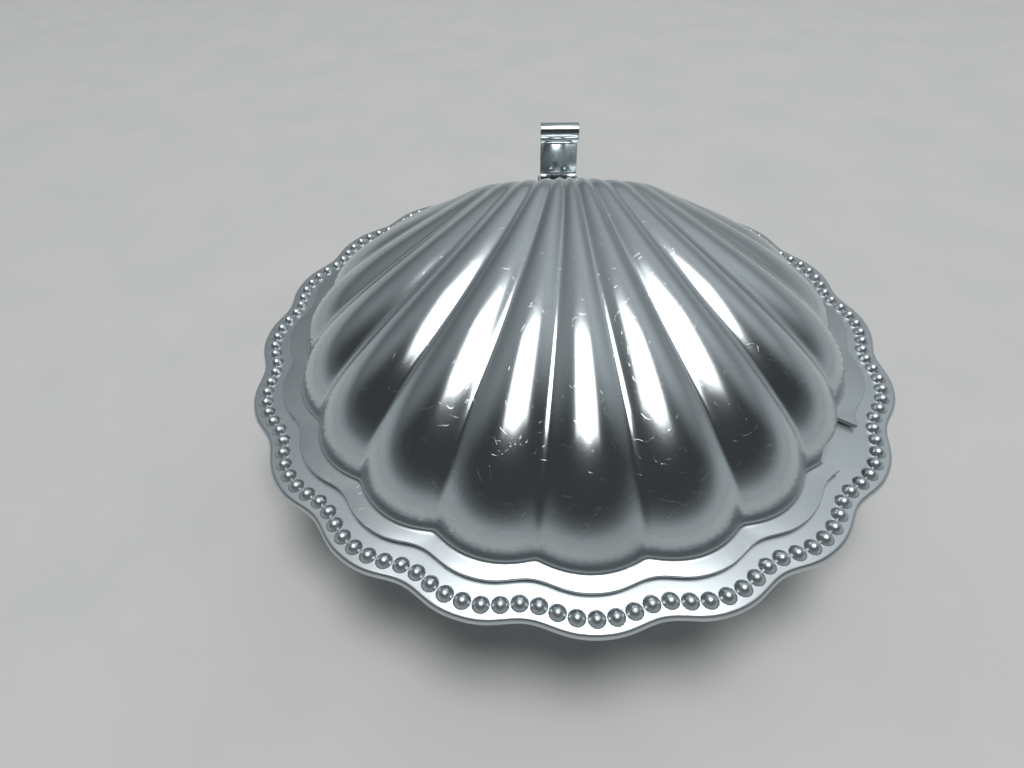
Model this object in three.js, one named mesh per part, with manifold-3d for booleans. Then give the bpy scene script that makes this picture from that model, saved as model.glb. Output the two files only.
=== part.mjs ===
// A covered table dish in the form of a scallop shell: a footed tray of stainless steel with a lobed, beaded
// rim, a fluted shell lid on a hinge at the back, and a glass liner that stands in the tray's well.
// Millimetres, +Z up. The front of the dish faces -Y. The origin lies on the table, under the middle of the dish's
// whole length, hinge included; each piece is drawn round the middle of the rim, and the whole is moved at the end.

import * as THREE from 'three';
import { mergeGeometries, mergeVertices } from 'three/addons/utils/BufferGeometryUtils.js';
import Module from 'manifold-3d';

const wasm = await Module();
wasm.setup();

// Clearances
const seatGap = 0.3;          // under a piece that stands or rests on another
const plateGap = 0.1;         // between plates that are fastened flat on each other
const pinClearance = 0.2;     // around the hinge pin
const rivetClearance = 0.15;  // around the rivets' shanks

// Shell outline, shared by the tray and the lid
const lobeCount = 20;
const rimRadius = 70;         // mean radius of the tray's outline
const lobeSwing = 0.9;        // how far the lobes and notches leave that radius
const lobeSharpness = 0.13;   // 0 gives an even wave

// Tray
const traySheet = 0.9;
const footHeight = 9.1;       // tray floor above the table
const wellDepth = 13;
const bandWidth = 14;         // from the outline in to the mouth of the well
const wellSlope = 11;         // from the mouth in to the flat floor
const wellFluteDepth = 1.1;
const mouthRound = 0.8;
const lipDepth = 1.8;         // downturned edge of the rim
const lipRound = 0.6;
const beadDiameter = 2.7;
const beadSpace = 0.3;        // least space between two beads
const beadInset = 2.8;        // from the outline in to the line of the beads

// Ball feet, one at the back and two at the front
const footNames = ['foot_back', 'foot_front_left', 'foot_front_right'];
const footFlatRadius = 1.8;
const footInset = 5;          // from the edge of the flat floor in to the middle of a foot

// Lid
const lidSheet = 0.9;
const flangeInset = 6.4;      // from the tray's outline in to the flange's edge
const flangeWidth = 3.6;
const fluteDepth = 1.9;
const domeRise = 24.7;        // of the valleys between the flutes, along the middle of the lid
const crestPlace = 0.54;      // share of a flute's length, from its foot, where it is highest
const wallFullness = 1.1;     // a larger value makes the front wall rise steeper
const umboHeight = 7;         // where the flutes run together at the back
const umboInset = 3.6;        // from the foot of the lid's back wall
const flareFront = 0.5;       // how far the flutes start straight inwards before they turn to the umbo
const flareBack = 0.34;

// Spoon notch in the right side of the lid
const notchAngle = THREE.MathUtils.degToRad(54);
const notchWidth = 13;
const notchHeight = 3.8;      // above the flange
const notchRound = 1.2;

// Hinge
const hingeWidth = 11.4;
const leafSheet = 0.8;
const lidKnuckleWidth = 4.2;
const knuckleSpace = 0.3;
const knuckleTurn = THREE.MathUtils.degToRad(285);
const knuckleRoot = 0.7;      // of each knuckle's strip, within its leaf
const leafInset = 0.7;        // from the lid's back wall to the ends of both leaves
const tongueReach = 4.2;      // beyond the flange's edge
const tongueMargin = 0.9;     // beyond each side of the hinge
const pinHeadRadius = 1.6;
const pinHeadHeight = 0.6;
const pinHeadTaper = 0.5;     // from a head's widest circle in to its end face

// Thumb lever
const leverSheet = 1.0;
const leverWidth = 11.4;
const leverHeight = 19.5;     // top of the roll above the tray's rim
const leverBendRadius = 1.6;
const leverLean = THREE.MathUtils.degToRad(5);
const rollRadius = 2.5;
const rollTurn = THREE.MathUtils.degToRad(290);
const leverSetback = 1.2;     // from the hinge axis forward to the upright

// Rivets that hold the lever and the lid's leaf on the tongue
const rivetShankRadius = 0.8;
const rivetHeadRadius = 1.7;
const rivetHeadHeight = 0.9;
const rivetSpacing = 5.8;
const rivetInset = 3.6;       // from the lid's back wall

// Glass liner
const glassWall = 2.2;
const glassFloor = 2.6;
const linerClearance = 2.0;   // to the wall of the well
const linerRise = 0.5;        // above the tray's rim
const glassRound = 0.25;      // of the wall's thickness, rounded off at the liner's rim

// Facets
const pointsPerLobe = 4;
const domeRings = 11;
const innerDomeRings = 9;
const wellRings = 4;
const headSteps = 2;
const normalStep = 0.004;     // between the points that give a normal, in radians and in share of a flute
const beadSides = 6;
const arcStep = THREE.MathUtils.degToRad(24);

// Levels and radii that follow from the sizes above
const fullTurn = 2 * Math.PI;
const rimHeight = footHeight + traySheet + wellDepth;
const mouthRadius = rimRadius - bandWidth;
const floorRadius = mouthRadius - wellSlope;
const flangeTop = rimHeight + seatGap + lidSheet;
const ridgeFootRadius = rimRadius - flangeInset + lobeSwing - flangeWidth;
const valleyFootRadius = ridgeFootRadius - fluteDepth;
const rimBack = rimRadius + lobeSwing;
const flangeBack = rimBack - flangeInset;
const tongueBack = flangeBack + tongueReach;
const tongueWidth = hingeWidth + 2 * tongueMargin;

// The lid's leaf lies on the tongue and the tray's leaf under the rim, and the barrel reaches from one to the other
const lidLeafLevel = flangeTop + plateGap + leafSheet / 2;
const trayLeafLevel = rimHeight - traySheet - plateGap - leafSheet / 2;
const hingeLevel = (lidLeafLevel + trayLeafLevel) / 2;
const knuckleRadius = (lidLeafLevel - trayLeafLevel) / 2;
const barrelRadius = knuckleRadius + leafSheet / 2;
const pinRadius = knuckleRadius - leafSheet / 2 - pinClearance;
const hingeBack = rimBack + seatGap + barrelRadius;
const middleBack = (hingeBack + barrelRadius - rimBack) / 2;
const leafFront = ridgeFootRadius + leafInset;
const leafBack = hingeBack - barrelRadius - knuckleSpace;
const leverFootLevel = lidLeafLevel + leafSheet / 2 + plateGap + leverSheet / 2;

// 1 at the middle of a lobe and -1 in a notch, with notches a little sharper than the lobes
function lobeWave(angle) {
  return Math.cos(lobeCount * angle) - lobeSharpness * (Math.cos(2 * lobeCount * angle) - 1);
}

// 1 on the ridge of a flute and 0 in the crease between two flutes
function fluteArch(angle) {
  const across = (angle * lobeCount) / fullTurn;
  const offset = 2 * (across - Math.round(across));
  return 1 - offset * offset;
}

// Angles start at the front of the dish and grow towards its right side
function polar(radius, angle, z) {
  return new THREE.Vector3(radius * Math.sin(angle), -radius * Math.cos(angle), z);
}

function rimOutline(angle, inset) {
  return rimRadius - inset + lobeSwing * lobeWave(angle);
}

function ring(pointAt) {
  const count = lobeCount * pointsPerLobe;
  return Array.from({ length: count }, (_, i) => pointAt((fullTurn * i) / count));
}

// A closed skin through rings that run outwards over the top and back in underneath; it starts and ends at a pole
function skin(topPole, rings, bottomPole) {
  const count = rings[0].length;
  const points = [topPole, ...rings.flat(), bottomPole];
  const at = (ringIndex, i) => 1 + ringIndex * count + (i % count);
  const faces = [];
  for (let i = 0; i < count; i += 1) {
    faces.push(0, at(0, i), at(0, i + 1));
    for (let j = 0; j < rings.length - 1; j += 1) {
      faces.push(at(j, i), at(j + 1, i), at(j + 1, i + 1));
      faces.push(at(j, i), at(j + 1, i + 1), at(j, i + 1));
    }
    faces.push(at(rings.length - 1, i), points.length - 1, at(rings.length - 1, i + 1));
  }
  const geometry = new THREE.BufferGeometry().setFromPoints(points);
  geometry.setIndex(faces);
  return geometry;
}

function solid(geometry) {
  const bare = geometry.clone();
  bare.deleteAttribute('normal');
  bare.deleteAttribute('uv');
  const merged = mergeVertices(bare);
  const vertProperties = new Float32Array(merged.attributes.position.array);
  const triVerts = new Uint32Array(merged.index.array);
  return new wasm.Manifold(new wasm.Mesh({ numProp: 3, vertProperties, triVerts }));
}

function geometryOf(body) {
  const { vertProperties, triVerts } = body.getMesh();
  const geometry = new THREE.BufferGeometry();
  geometry.setAttribute('position', new THREE.BufferAttribute(new Float32Array(vertProperties), 3));
  geometry.setIndex(new THREE.BufferAttribute(new Uint32Array(triVerts), 1));
  return geometry;
}

function join(...geometries) {
  return geometryOf(geometries.map(solid).reduce((sum, next) => sum.add(next)));
}

function cut(geometry, ...tools) {
  return geometryOf(tools.map(solid).reduce((rest, tool) => rest.subtract(tool), solid(geometry)));
}

function box(low, high) {
  const size = new THREE.Vector3().subVectors(high, low);
  const middle = new THREE.Vector3().addVectors(high, low).multiplyScalar(0.5);
  return new THREE.BoxGeometry(size.x, size.y, size.z).translate(middle.x, middle.y, middle.z);
}

// Extrudes an outline drawn in the Y-Z plane along X, centred on the given place
function extrudeAcross(outline, width, middleX) {
  const geometry = new THREE.ExtrudeGeometry(new THREE.Shape(outline), { depth: width, bevelEnabled: false });
  const acrossX = new THREE.Matrix4().makeBasis(
    new THREE.Vector3(0, 1, 0),
    new THREE.Vector3(0, 0, 1),
    new THREE.Vector3(1, 0, 0),
  );
  return geometry.applyMatrix4(acrossX).translate(middleX - width / 2, 0, 0);
}

// Outline of a bent strip: its centre line starts at a point, in a heading from +Y towards +Z, and follows runs
// of { length } and bends of { radius, turn }, where a positive turn is to the left
function stripOutline(start, heading, sheet, moves) {
  const spots = [{ at: start.clone(), heading }];
  const walk = (length) => {
    const last = spots[spots.length - 1];
    const step = new THREE.Vector2(Math.cos(last.heading), Math.sin(last.heading)).multiplyScalar(length);
    spots.push({ at: last.at.clone().add(step), heading: last.heading });
  };
  const bend = (radius, turn) => {
    const last = spots[spots.length - 1];
    const side = Math.sign(turn);
    const centre = last.at.clone().add(
      new THREE.Vector2(-Math.sin(last.heading), Math.cos(last.heading)).multiplyScalar(side * radius),
    );
    const steps = Math.max(2, Math.ceil(Math.abs(turn) / arcStep));
    for (let i = 1; i <= steps; i += 1) {
      const now = last.heading + (turn * i) / steps;
      const arm = new THREE.Vector2(Math.sin(now), -Math.cos(now)).multiplyScalar(side * radius);
      spots.push({ at: centre.clone().add(arm), heading: now });
    }
  };
  for (const move of moves) {
    if (move.length) walk(move.length);
    if (move.turn) bend(move.radius, move.turn);
  }
  const edge = (side) => spots.map(({ at, heading: now }) => {
    const out = new THREE.Vector2(-Math.sin(now), Math.cos(now)).multiplyScalar((side * sheet) / 2);
    return at.clone().add(out);
  });
  return [...edge(-1), ...edge(1).reverse()];
}

// A point of the well's wall: share 0 at the edge of the flat floor, 1 at the mouth
function wellPoint(angle, share, outwards, floorLevel, topLevel) {
  const quarter = (share * Math.PI) / 2;
  const flute = wellFluteDepth * share * (1 - fluteArch(angle));
  const radius = floorRadius + (wellSlope + outwards) * Math.sin(quarter) - flute;
  const z = topLevel - (topLevel - floorLevel) * Math.cos(quarter);
  return polar(radius, angle, z);
}

function wellWall(outwards, floorLevel, topLevel) {
  const shares = Array.from({ length: wellRings + 1 }, (_, i) => i / wellRings);
  return shares.map((share) => ring((angle) => wellPoint(angle, share, outwards, floorLevel, topLevel)));
}

// A bead is pressed up out of the sheet, so its foot stays within the sheet
function beadGeometry() {
  const radius = beadDiameter / 2;
  const root = new THREE.Vector2(0, -traySheet / 2);
  const profile = [root, root.clone().setX(radius), ...roundedHead(radius, radius, 0).slice(1)];
  return new THREE.LatheGeometry(profile, beadSides).rotateX(Math.PI / 2);
}

function beads() {
  const lineRadius = rimRadius - beadInset;
  const perLobe = Math.floor((fullTurn * lineRadius) / lobeCount / (beadDiameter + beadSpace));
  const count = perLobe * lobeCount;
  const places = Array.from({ length: count }, (_, i) => {
    const angle = (fullTurn * (i + 0.5)) / count;
    return polar(rimOutline(angle, beadInset), angle, rimHeight);
  });
  const tongueHalf = (tongueWidth + beadDiameter) / 2 + seatGap;
  const open = places.filter((place) => place.y < 0 || Math.abs(place.x) > tongueHalf);
  return open.map((place) => beadGeometry().translate(place.x, place.y, place.z));
}

function trayGeometry() {
  const underside = rimHeight - traySheet;
  const lipFoot = rimHeight - lipDepth;
  const plate = skin(
    polar(0, 0, rimHeight - wellDepth),
    [
      ...wellWall(0, rimHeight - wellDepth, rimHeight - mouthRound),
      ring((angle) => polar(mouthRadius + mouthRound, angle, rimHeight)),
      ring((angle) => polar(rimOutline(angle, lipRound), angle, rimHeight)),
      ring((angle) => polar(rimOutline(angle, 0), angle, rimHeight - lipRound)),
      ring((angle) => polar(rimOutline(angle, 0), angle, lipFoot)),
      ring((angle) => polar(rimOutline(angle, traySheet), angle, lipFoot)),
      ring((angle) => polar(rimOutline(angle, traySheet), angle, underside)),
      ...wellWall(traySheet, rimHeight - wellDepth - traySheet, underside).reverse(),
    ],
    polar(0, 0, rimHeight - wellDepth - traySheet),
  );
  // The downturned lip is left open where the tray's leaf passes under it
  const leafPassage = box(
    new THREE.Vector3(-hingeWidth / 2 - seatGap, rimRadius - lobeSwing - traySheet - lipDepth, lipFoot - lipDepth),
    new THREE.Vector3(hingeWidth / 2 + seatGap, rimBack + lipDepth, underside),
  );
  return cut(join(plate, mergeGeometries(beads())), leafPassage);
}

// The creases of the lid: from a foot on the flange, each starts straight inwards and then turns to the umbo
function creasePoint(angle, along, shrink) {
  const footRadius = valleyFootRadius - shrink;
  const foot = polar(footRadius, angle, 0);
  const umbo = new THREE.Vector3(0, ridgeFootRadius - umboInset - shrink, 0);
  const backness = (1 - Math.cos(angle)) / 2;
  const reach = THREE.MathUtils.lerp(flareFront, flareBack, backness) * foot.distanceTo(umbo);
  const middle = foot.clone().multiplyScalar(1 - reach / footRadius);
  const point = foot.clone().multiplyScalar((1 - along) ** 2)
    .addScaledVector(middle, 2 * along * (1 - along))
    .addScaledVector(umbo, along ** 2);
  const rise = along < crestPlace
    ? Math.sqrt(1 - (1 - along / crestPlace) ** wallFullness)
    : (1 - ((along - crestPlace) / (1 - crestPlace)) ** 2) ** 2;
  point.z = domeRise * (1 - backness ** 2) * rise + umboHeight * (1 - (1 - along) ** 2);
  return point;
}

// The flutes stand out from the creases along the normal, and fade out towards the umbo
function domePoint(angle, along, shrink) {
  const step = normalStep;
  const point = creasePoint(angle, along, shrink);
  const sideways = creasePoint(angle + step, along, shrink).sub(creasePoint(angle - step, along, shrink));
  const upwards = creasePoint(angle, Math.min(1, along + step), shrink)
    .sub(creasePoint(angle, Math.max(0, along - step), shrink));
  const normal = sideways.cross(upwards).normalize();
  point.addScaledVector(normal, fluteDepth * (1 - along) * fluteArch(angle));
  point.z += flangeTop - shrink;
  return point;
}

function footPoint(angle, shrink) {
  const radius = valleyFootRadius + fluteDepth * fluteArch(angle) - shrink;
  return polar(radius, angle, flangeTop - shrink);
}

function domeWall(count, shrink) {
  const places = Array.from({ length: count - 1 }, (_, i) => ((i + 1) / count) ** 2);
  return [
    ring((angle) => footPoint(angle, shrink)),
    ...places.map((along) => ring((angle) => domePoint(angle, along, shrink))),
  ];
}

function tongueGeometry() {
  const front = ridgeFootRadius + seatGap;
  const corner = tongueWidth / 6;
  const side = tongueWidth / 2;
  const outline = new THREE.Shape();
  outline.moveTo(-side, front);
  outline.lineTo(side, front);
  outline.lineTo(side, tongueBack - corner);
  outline.absarc(side - corner, tongueBack - corner, corner, 0, Math.PI / 2);
  outline.lineTo(corner - side, tongueBack);
  outline.absarc(corner - side, tongueBack - corner, corner, Math.PI / 2, Math.PI);
  outline.lineTo(-side, front);
  const settings = { depth: lidSheet, bevelEnabled: false, curveSegments: 4 };
  return new THREE.ExtrudeGeometry(outline, settings).translate(0, 0, flangeTop - lidSheet);
}

// The notch is cut straight inwards through the flange and the foot of the wall, with its upper corners rounded
function notchGeometry() {
  const side = notchWidth / 2;
  const outline = new THREE.Shape();
  outline.moveTo(-side, -lidSheet - seatGap);
  outline.lineTo(side, -lidSheet - seatGap);
  outline.lineTo(side, notchHeight - notchRound);
  outline.absarc(side - notchRound, notchHeight - notchRound, notchRound, 0, Math.PI / 2);
  outline.lineTo(notchRound - side, notchHeight);
  outline.absarc(notchRound - side, notchHeight - notchRound, notchRound, Math.PI / 2, Math.PI);
  outline.lineTo(-side, -lidSheet - seatGap);
  const inner = valleyFootRadius - 2 * (lidSheet + fluteDepth);
  const outer = rimRadius - flangeInset + 2 * lobeSwing;
  const settings = { depth: outer - inner, bevelEnabled: false, curveSegments: 4 };
  return new THREE.ExtrudeGeometry(outline, settings)
    .rotateX(Math.PI / 2)
    .translate(0, -inner, flangeTop)
    .rotateZ(notchAngle);
}

function rivetPlaces() {
  return [-1, 1].map((side) => new THREE.Vector2((side * rivetSpacing) / 2, ridgeFootRadius + rivetInset));
}

function rivetHoles(low, high) {
  return rivetPlaces().map(({ x, y }) => new THREE.CylinderGeometry(
    rivetShankRadius + rivetClearance,
    rivetShankRadius + rivetClearance,
    high - low,
    12,
  ).rotateX(Math.PI / 2).translate(x, y, (low + high) / 2));
}

function lidGeometry() {
  const outerPole = creasePoint(0, 1, 0).setZ(flangeTop + umboHeight);
  const innerPole = creasePoint(0, 1, lidSheet).setZ(flangeTop + umboHeight - lidSheet);
  const shell = skin(
    outerPole,
    [
      ...domeWall(domeRings, 0).reverse(),
      ring((angle) => polar(rimOutline(angle, flangeInset), angle, flangeTop)),
      ring((angle) => polar(rimOutline(angle, flangeInset), angle, flangeTop - lidSheet)),
      ...domeWall(innerDomeRings, lidSheet),
    ],
    innerPole,
  );
  return cut(join(shell, tongueGeometry()), notchGeometry(), ...rivetHoles(rimHeight, flangeTop + lidSheet));
}

// A hinge leaf: a plate as wide as the hinge, and knuckles rolled at its back edge
function leafGeometry(level, turn, knuckles) {
  const plate = box(
    new THREE.Vector3(-hingeWidth / 2, leafFront, level - leafSheet / 2),
    new THREE.Vector3(hingeWidth / 2, leafBack, level + leafSheet / 2),
  );
  const start = new THREE.Vector2(leafBack - knuckleRoot, level);
  const moves = [{ length: hingeBack - start.x }, { radius: knuckleRadius, turn }];
  const rolled = knuckles.map(({ middle, width }) => (
    extrudeAcross(stripOutline(start, 0, leafSheet, moves), width, middle)
  ));
  return join(plate, ...rolled);
}

function lidLeafGeometry() {
  const leaf = leafGeometry(lidLeafLevel, -knuckleTurn, [{ middle: 0, width: lidKnuckleWidth }]);
  return cut(leaf, ...rivetHoles(lidLeafLevel - leafSheet, lidLeafLevel + leafSheet));
}

function trayLeafGeometry() {
  const width = (hingeWidth - lidKnuckleWidth) / 2 - knuckleSpace;
  const middle = (hingeWidth - width) / 2;
  return leafGeometry(trayLeafLevel, knuckleTurn, [{ middle: -middle, width }, { middle, width }]);
}

function pinGeometry() {
  const half = hingeWidth / 2 + plateGap;
  const end = half + pinHeadHeight;
  const profile = [
    new THREE.Vector2(0, -end),
    new THREE.Vector2(pinHeadRadius - pinHeadTaper, -end),
    new THREE.Vector2(pinHeadRadius, -half),
    new THREE.Vector2(pinRadius, -half),
    new THREE.Vector2(pinRadius, half),
    new THREE.Vector2(pinHeadRadius, half),
    new THREE.Vector2(pinHeadRadius - pinHeadTaper, end),
    new THREE.Vector2(0, end),
  ];
  return new THREE.LatheGeometry(profile, 16).rotateZ(Math.PI / 2);
}

function leverGeometry() {
  const uprightTurn = Math.PI / 2 - leverLean;
  const rollTop = rimHeight + leverHeight - leverSheet / 2;
  const rollStart = rollTop - rollRadius + rollRadius * Math.sin(-leverLean);
  const bendRise = leverBendRadius * (1 - Math.cos(uprightTurn));
  const upright = (rollStart - leverFootLevel - bendRise) / Math.cos(leverLean);
  const footRun = hingeBack - leverSetback - leverBendRadius - leafFront;
  const outline = stripOutline(new THREE.Vector2(leafFront, leverFootLevel), 0, leverSheet, [
    { length: footRun },
    { radius: leverBendRadius, turn: uprightTurn },
    { length: upright },
    { radius: rollRadius, turn: rollTurn },
  ]);
  const strap = extrudeAcross(outline, leverWidth, 0);
  return cut(strap, ...rivetHoles(leverFootLevel - leverSheet, leverFootLevel + leverSheet));
}

// A quarter of an ellipse, from the rim of a head at its foot up to its middle
function roundedHead(radius, height, footLevel) {
  return Array.from({ length: headSteps + 1 }, (_, i) => {
    const tilt = (Math.PI / 2) * (i / headSteps);
    const middle = i === headSteps ? 0 : radius * Math.cos(tilt);
    return new THREE.Vector2(middle, footLevel + height * Math.sin(tilt));
  });
}

function rivetGeometry() {
  const foot = flangeTop - lidSheet;
  const seat = leverFootLevel + leverSheet / 2 + plateGap;
  const profile = [new THREE.Vector2(0, foot), new THREE.Vector2(rivetShankRadius, foot)];
  profile.push(new THREE.Vector2(rivetShankRadius, seat), ...roundedHead(rivetHeadRadius, rivetHeadHeight, seat));
  return new THREE.LatheGeometry(profile, 12).rotateX(Math.PI / 2);
}

// A ball cut flat where it stands on the table and where it meets the tray
function footGeometry() {
  const height = footHeight - plateGap;
  const ballRadius = Math.hypot(height / 2, footFlatRadius);
  const start = Math.asin(footFlatRadius / ballRadius);
  const steps = 8;
  const arc = Array.from({ length: steps + 1 }, (_, i) => {
    const tilt = start + ((Math.PI - 2 * start) * i) / steps;
    return new THREE.Vector2(ballRadius * Math.sin(tilt), height / 2 - ballRadius * Math.cos(tilt));
  });
  const profile = [new THREE.Vector2(0, 0), ...arc, new THREE.Vector2(0, height)];
  return new THREE.LatheGeometry(profile, 18).rotateX(Math.PI / 2);
}

// The liner follows the fluted wall of the well, a clearance inside it
function linerGeometry() {
  const bottom = rimHeight - wellDepth + seatGap;
  const top = rimHeight + linerRise;
  const rimCentre = mouthRadius - linerClearance - glassWall / 2;
  const flute = (angle) => wellFluteDepth * (1 - fluteArch(angle));
  const rim = (side) => ring((angle) => polar(
    rimCentre + side * (0.5 - glassRound) * glassWall - flute(angle),
    angle,
    top,
  ));
  return skin(
    polar(0, 0, bottom + glassFloor),
    [
      ...wellWall(-linerClearance - glassWall, bottom + glassFloor, top - glassRound * glassWall),
      rim(-1),
      rim(1),
      ...wellWall(-linerClearance, bottom, top - glassRound * glassWall).reverse(),
    ],
    polar(0, 0, bottom),
  );
}

function steel(color, roughness) {
  return new THREE.MeshStandardMaterial({ color, roughness, metalness: 1 });
}

const polishedSteel = steel(0xb9bec2, 0.16);
const satinSteel = steel(0xc2c6c8, 0.3);
const springSteel = steel(0xaeb3b6, 0.22);
const pressedGlass = new THREE.MeshStandardMaterial({
  color: 0xe4efec, roughness: 0.06, metalness: 0, transparent: true, opacity: 0.4,
});

function part(name, geometry, material) {
  const mesh = new THREE.Mesh(geometry, material);
  mesh.name = name;
  return mesh;
}

const tray = new THREE.Group();
tray.add(part('tray', trayGeometry(), satinSteel));
tray.add(part('tray_hinge_leaf', trayLeafGeometry(), springSteel));

const pin = part('hinge_pin', pinGeometry(), springSteel);
pin.position.set(0, hingeBack, hingeLevel);
tray.add(pin);

footNames.forEach((name, i) => {
  const foot = part(name, footGeometry(), polishedSteel);
  foot.position.copy(polar(floorRadius - footInset, Math.PI + (fullTurn * i) / footNames.length, 0));
  tray.add(foot);
});

const lid = new THREE.Group();
lid.add(part('lid_shell', lidGeometry(), polishedSteel));
lid.add(part('lid_hinge_leaf', lidLeafGeometry(), springSteel));
lid.add(part('thumb_lever', leverGeometry(), springSteel));
rivetPlaces().forEach(({ x, y }) => {
  const rivet = part(x < 0 ? 'rivet_left' : 'rivet_right', rivetGeometry(), polishedSteel);
  rivet.position.set(x, y, 0);
  lid.add(rivet);
});

const dish = new THREE.Group();
dish.add(tray, lid, part('glass_liner', linerGeometry(), pressedGlass));
dish.position.y = -middleBack;

export default dish;
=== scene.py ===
# A covered table dish in the form of a scallop shell: a beaded tray on ball feet, a fluted lid on a hinge
# at the back, and a glass liner. The pieces are worked out again here with fine surfaces, from the sizes of
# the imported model, and get their finishes. The front of the dish faces -Y.

import math

import bmesh
import bpy
import numpy as np
from mathutils import Matrix, Vector


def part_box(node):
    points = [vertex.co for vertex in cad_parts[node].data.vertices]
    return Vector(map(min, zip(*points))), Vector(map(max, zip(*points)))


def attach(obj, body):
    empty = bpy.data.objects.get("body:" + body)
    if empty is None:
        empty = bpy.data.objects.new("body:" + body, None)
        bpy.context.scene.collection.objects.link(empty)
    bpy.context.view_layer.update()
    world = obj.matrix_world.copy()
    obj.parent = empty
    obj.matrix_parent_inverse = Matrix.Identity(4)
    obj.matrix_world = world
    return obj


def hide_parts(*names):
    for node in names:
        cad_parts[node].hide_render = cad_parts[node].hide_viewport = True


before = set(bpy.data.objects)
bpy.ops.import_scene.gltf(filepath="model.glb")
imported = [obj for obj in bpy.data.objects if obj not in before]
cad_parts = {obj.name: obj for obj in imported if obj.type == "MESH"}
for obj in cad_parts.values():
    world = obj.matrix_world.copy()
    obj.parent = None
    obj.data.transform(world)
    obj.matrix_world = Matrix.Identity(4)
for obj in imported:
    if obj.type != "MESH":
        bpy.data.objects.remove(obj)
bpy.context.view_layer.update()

MM = 0.001
FULL_TURN = 2 * math.pi
QUARTER_TURN = math.pi / 2

# Shell outline, shared by the tray and the lid
LOBE_COUNT = 20
LOBE_SWING = 0.9 * MM
LOBE_SHARPNESS = 0.13
LOBE_TURN = math.radians(2.2)

# Tray
TRAY_SHEET = 0.9 * MM
WELL_DEPTH = 13 * MM
BAND_WIDTH = 14 * MM
WELL_SLOPE = 11 * MM
WELL_FLUTE_DEPTH = 1.1 * MM
WELL_CREASE = 0.15
MOUTH_ROUND = 0.8 * MM
MOUTH_LAND = 3 * MM
LIP_DEPTH = 1.2 * MM
LIP_ROUND = 0.8 * MM
LIP_OUTER_BREAK = 0.15 * MM
LIP_INNER_BREAK = 0.1 * MM
BEAD_DIAMETER = 2.7 * MM
BEAD_HEIGHT = 1.1 * MM
BEAD_SKIRT = 0.12
BEAD_SKIRT_POWER = 4
BEAD_CROWN_POWER = 1.3
BEAD_SPACE = 0.3 * MM
BEAD_INSET = 2.8 * MM

# Lid
LID_SHEET = 0.9 * MM
FLANGE_INSET = 6.4 * MM
FLANGE_WIDTH = 5.4 * MM
DOME_FORWARD = 2 * MM
FLUTE_DEPTH = 1.9 * MM
DOME_RISE = 21.6 * MM
CREST_PLACE = 0.69
WALL_FULLNESS = 0.8
CREST_FULLNESS = 0.93
UMBO_HEIGHT = 8.5 * MM
UMBO_INSET = 13.6 * MM
FLARE_FRONT = 0.47
FLARE_BACK = 0.18
FOOT_FILLET = 1.0 * MM
FLUTE_FADE = 1.1
CREASE_FOOT = 0.07
CREASE_TOP = 0.3
CREASE_REACH = 1.3
CREASE_POWER = 1.5
EDGE_ROUND = 0.18 * MM
EDGE_UNDERCUT = 0.6 * MM

# Spoon notch
NOTCH_ANGLE = LOBE_TURN + 3 * FULL_TURN / LOBE_COUNT
NOTCH_WIDTH = 13 * MM
NOTCH_HEIGHT = 3.8 * MM
NOTCH_ROUND = 1.2 * MM

# Hinge, lever and rivets
SEAT_GAP = 0.3 * MM
PLATE_GAP = 0.1 * MM
HINGE_WIDTH = 11.4 * MM
LEAF_SHEET = 0.8 * MM
LEAF_INSET = 4.5 * MM
LID_KNUCKLE_WIDTH = 4.2 * MM
KNUCKLE_SPACE = 0.3 * MM
KNUCKLE_TURN = math.radians(285)
KNUCKLE_ROOT = 0.7 * MM
TONGUE_REACH = 4.2 * MM
TONGUE_MARGIN = 0.9 * MM
TONGUE_EDGE = 0.2 * MM
PIN_CLEARANCE = 0.2 * MM
PIN_HEAD_RADIUS = 1.6 * MM
PIN_HEAD_SHOULDER = 1.45 * MM
PIN_HEAD_FLAT = 1.1 * MM
PIN_HEAD_HEIGHT = 0.6 * MM
PIN_HEAD_BREAK = 0.15 * MM
LEVER_SHEET = 1.0 * MM
LEVER_HEIGHT = 19.5 * MM
LEVER_BEND_RADIUS = 1.6 * MM
LEVER_LEAN = math.radians(5)
LEVER_SETBACK = 1.2 * MM
ROLL_RADIUS = 2.5 * MM
ROLL_TURN = math.radians(290)
RIVET_SHANK_RADIUS = 0.8 * MM
RIVET_CLEARANCE = 0.15 * MM
RIVET_HEAD_RADIUS = 1.7 * MM
RIVET_HEAD_HEIGHT = 0.9 * MM
RIVET_SPACING = 5.8 * MM
RIVET_INSET = 7.4 * MM
STRIP_EDGE = 0.14 * MM

# Feet and liner
FOOT_FLAT_RADIUS = 1.8 * MM
GLASS_WALL = 2.2 * MM
GLASS_FLOOR = 2.6 * MM
LINER_CLEARANCE = 2.0 * MM

# Fineness of the surfaces
POINTS_PER_LOBE = 32
DOME_RINGS = 76
INNER_DOME_RINGS = 32
RING_SPREAD = 1.6
FIRST_RING = 0.35
FILLET_RINGS = 5
FILLET_REACH = 0.3
HALVINGS = 30
WELL_RINGS = 20
FLOOR_SHARES = (0.02, 0.3, 0.6, 0.85)
MOUTH_STEPS = 5
LIP_STEPS = 6
EDGE_STEPS = 4
CORNER_STEPS = 8
HOLE_SIDES = 24
TURNED_SIDES = 48
BALL_STEPS = 24
LINER_RIM_STEPS = 10
BEAD_SEGMENTS = 14
BEAD_RINGS = 12
FINE_ARC = math.radians(6)
SMOOTH_ANGLE = math.radians(38)
BEVEL_ANGLE = math.radians(50)
WELD_DISTANCE = 0.002 * MM

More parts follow.
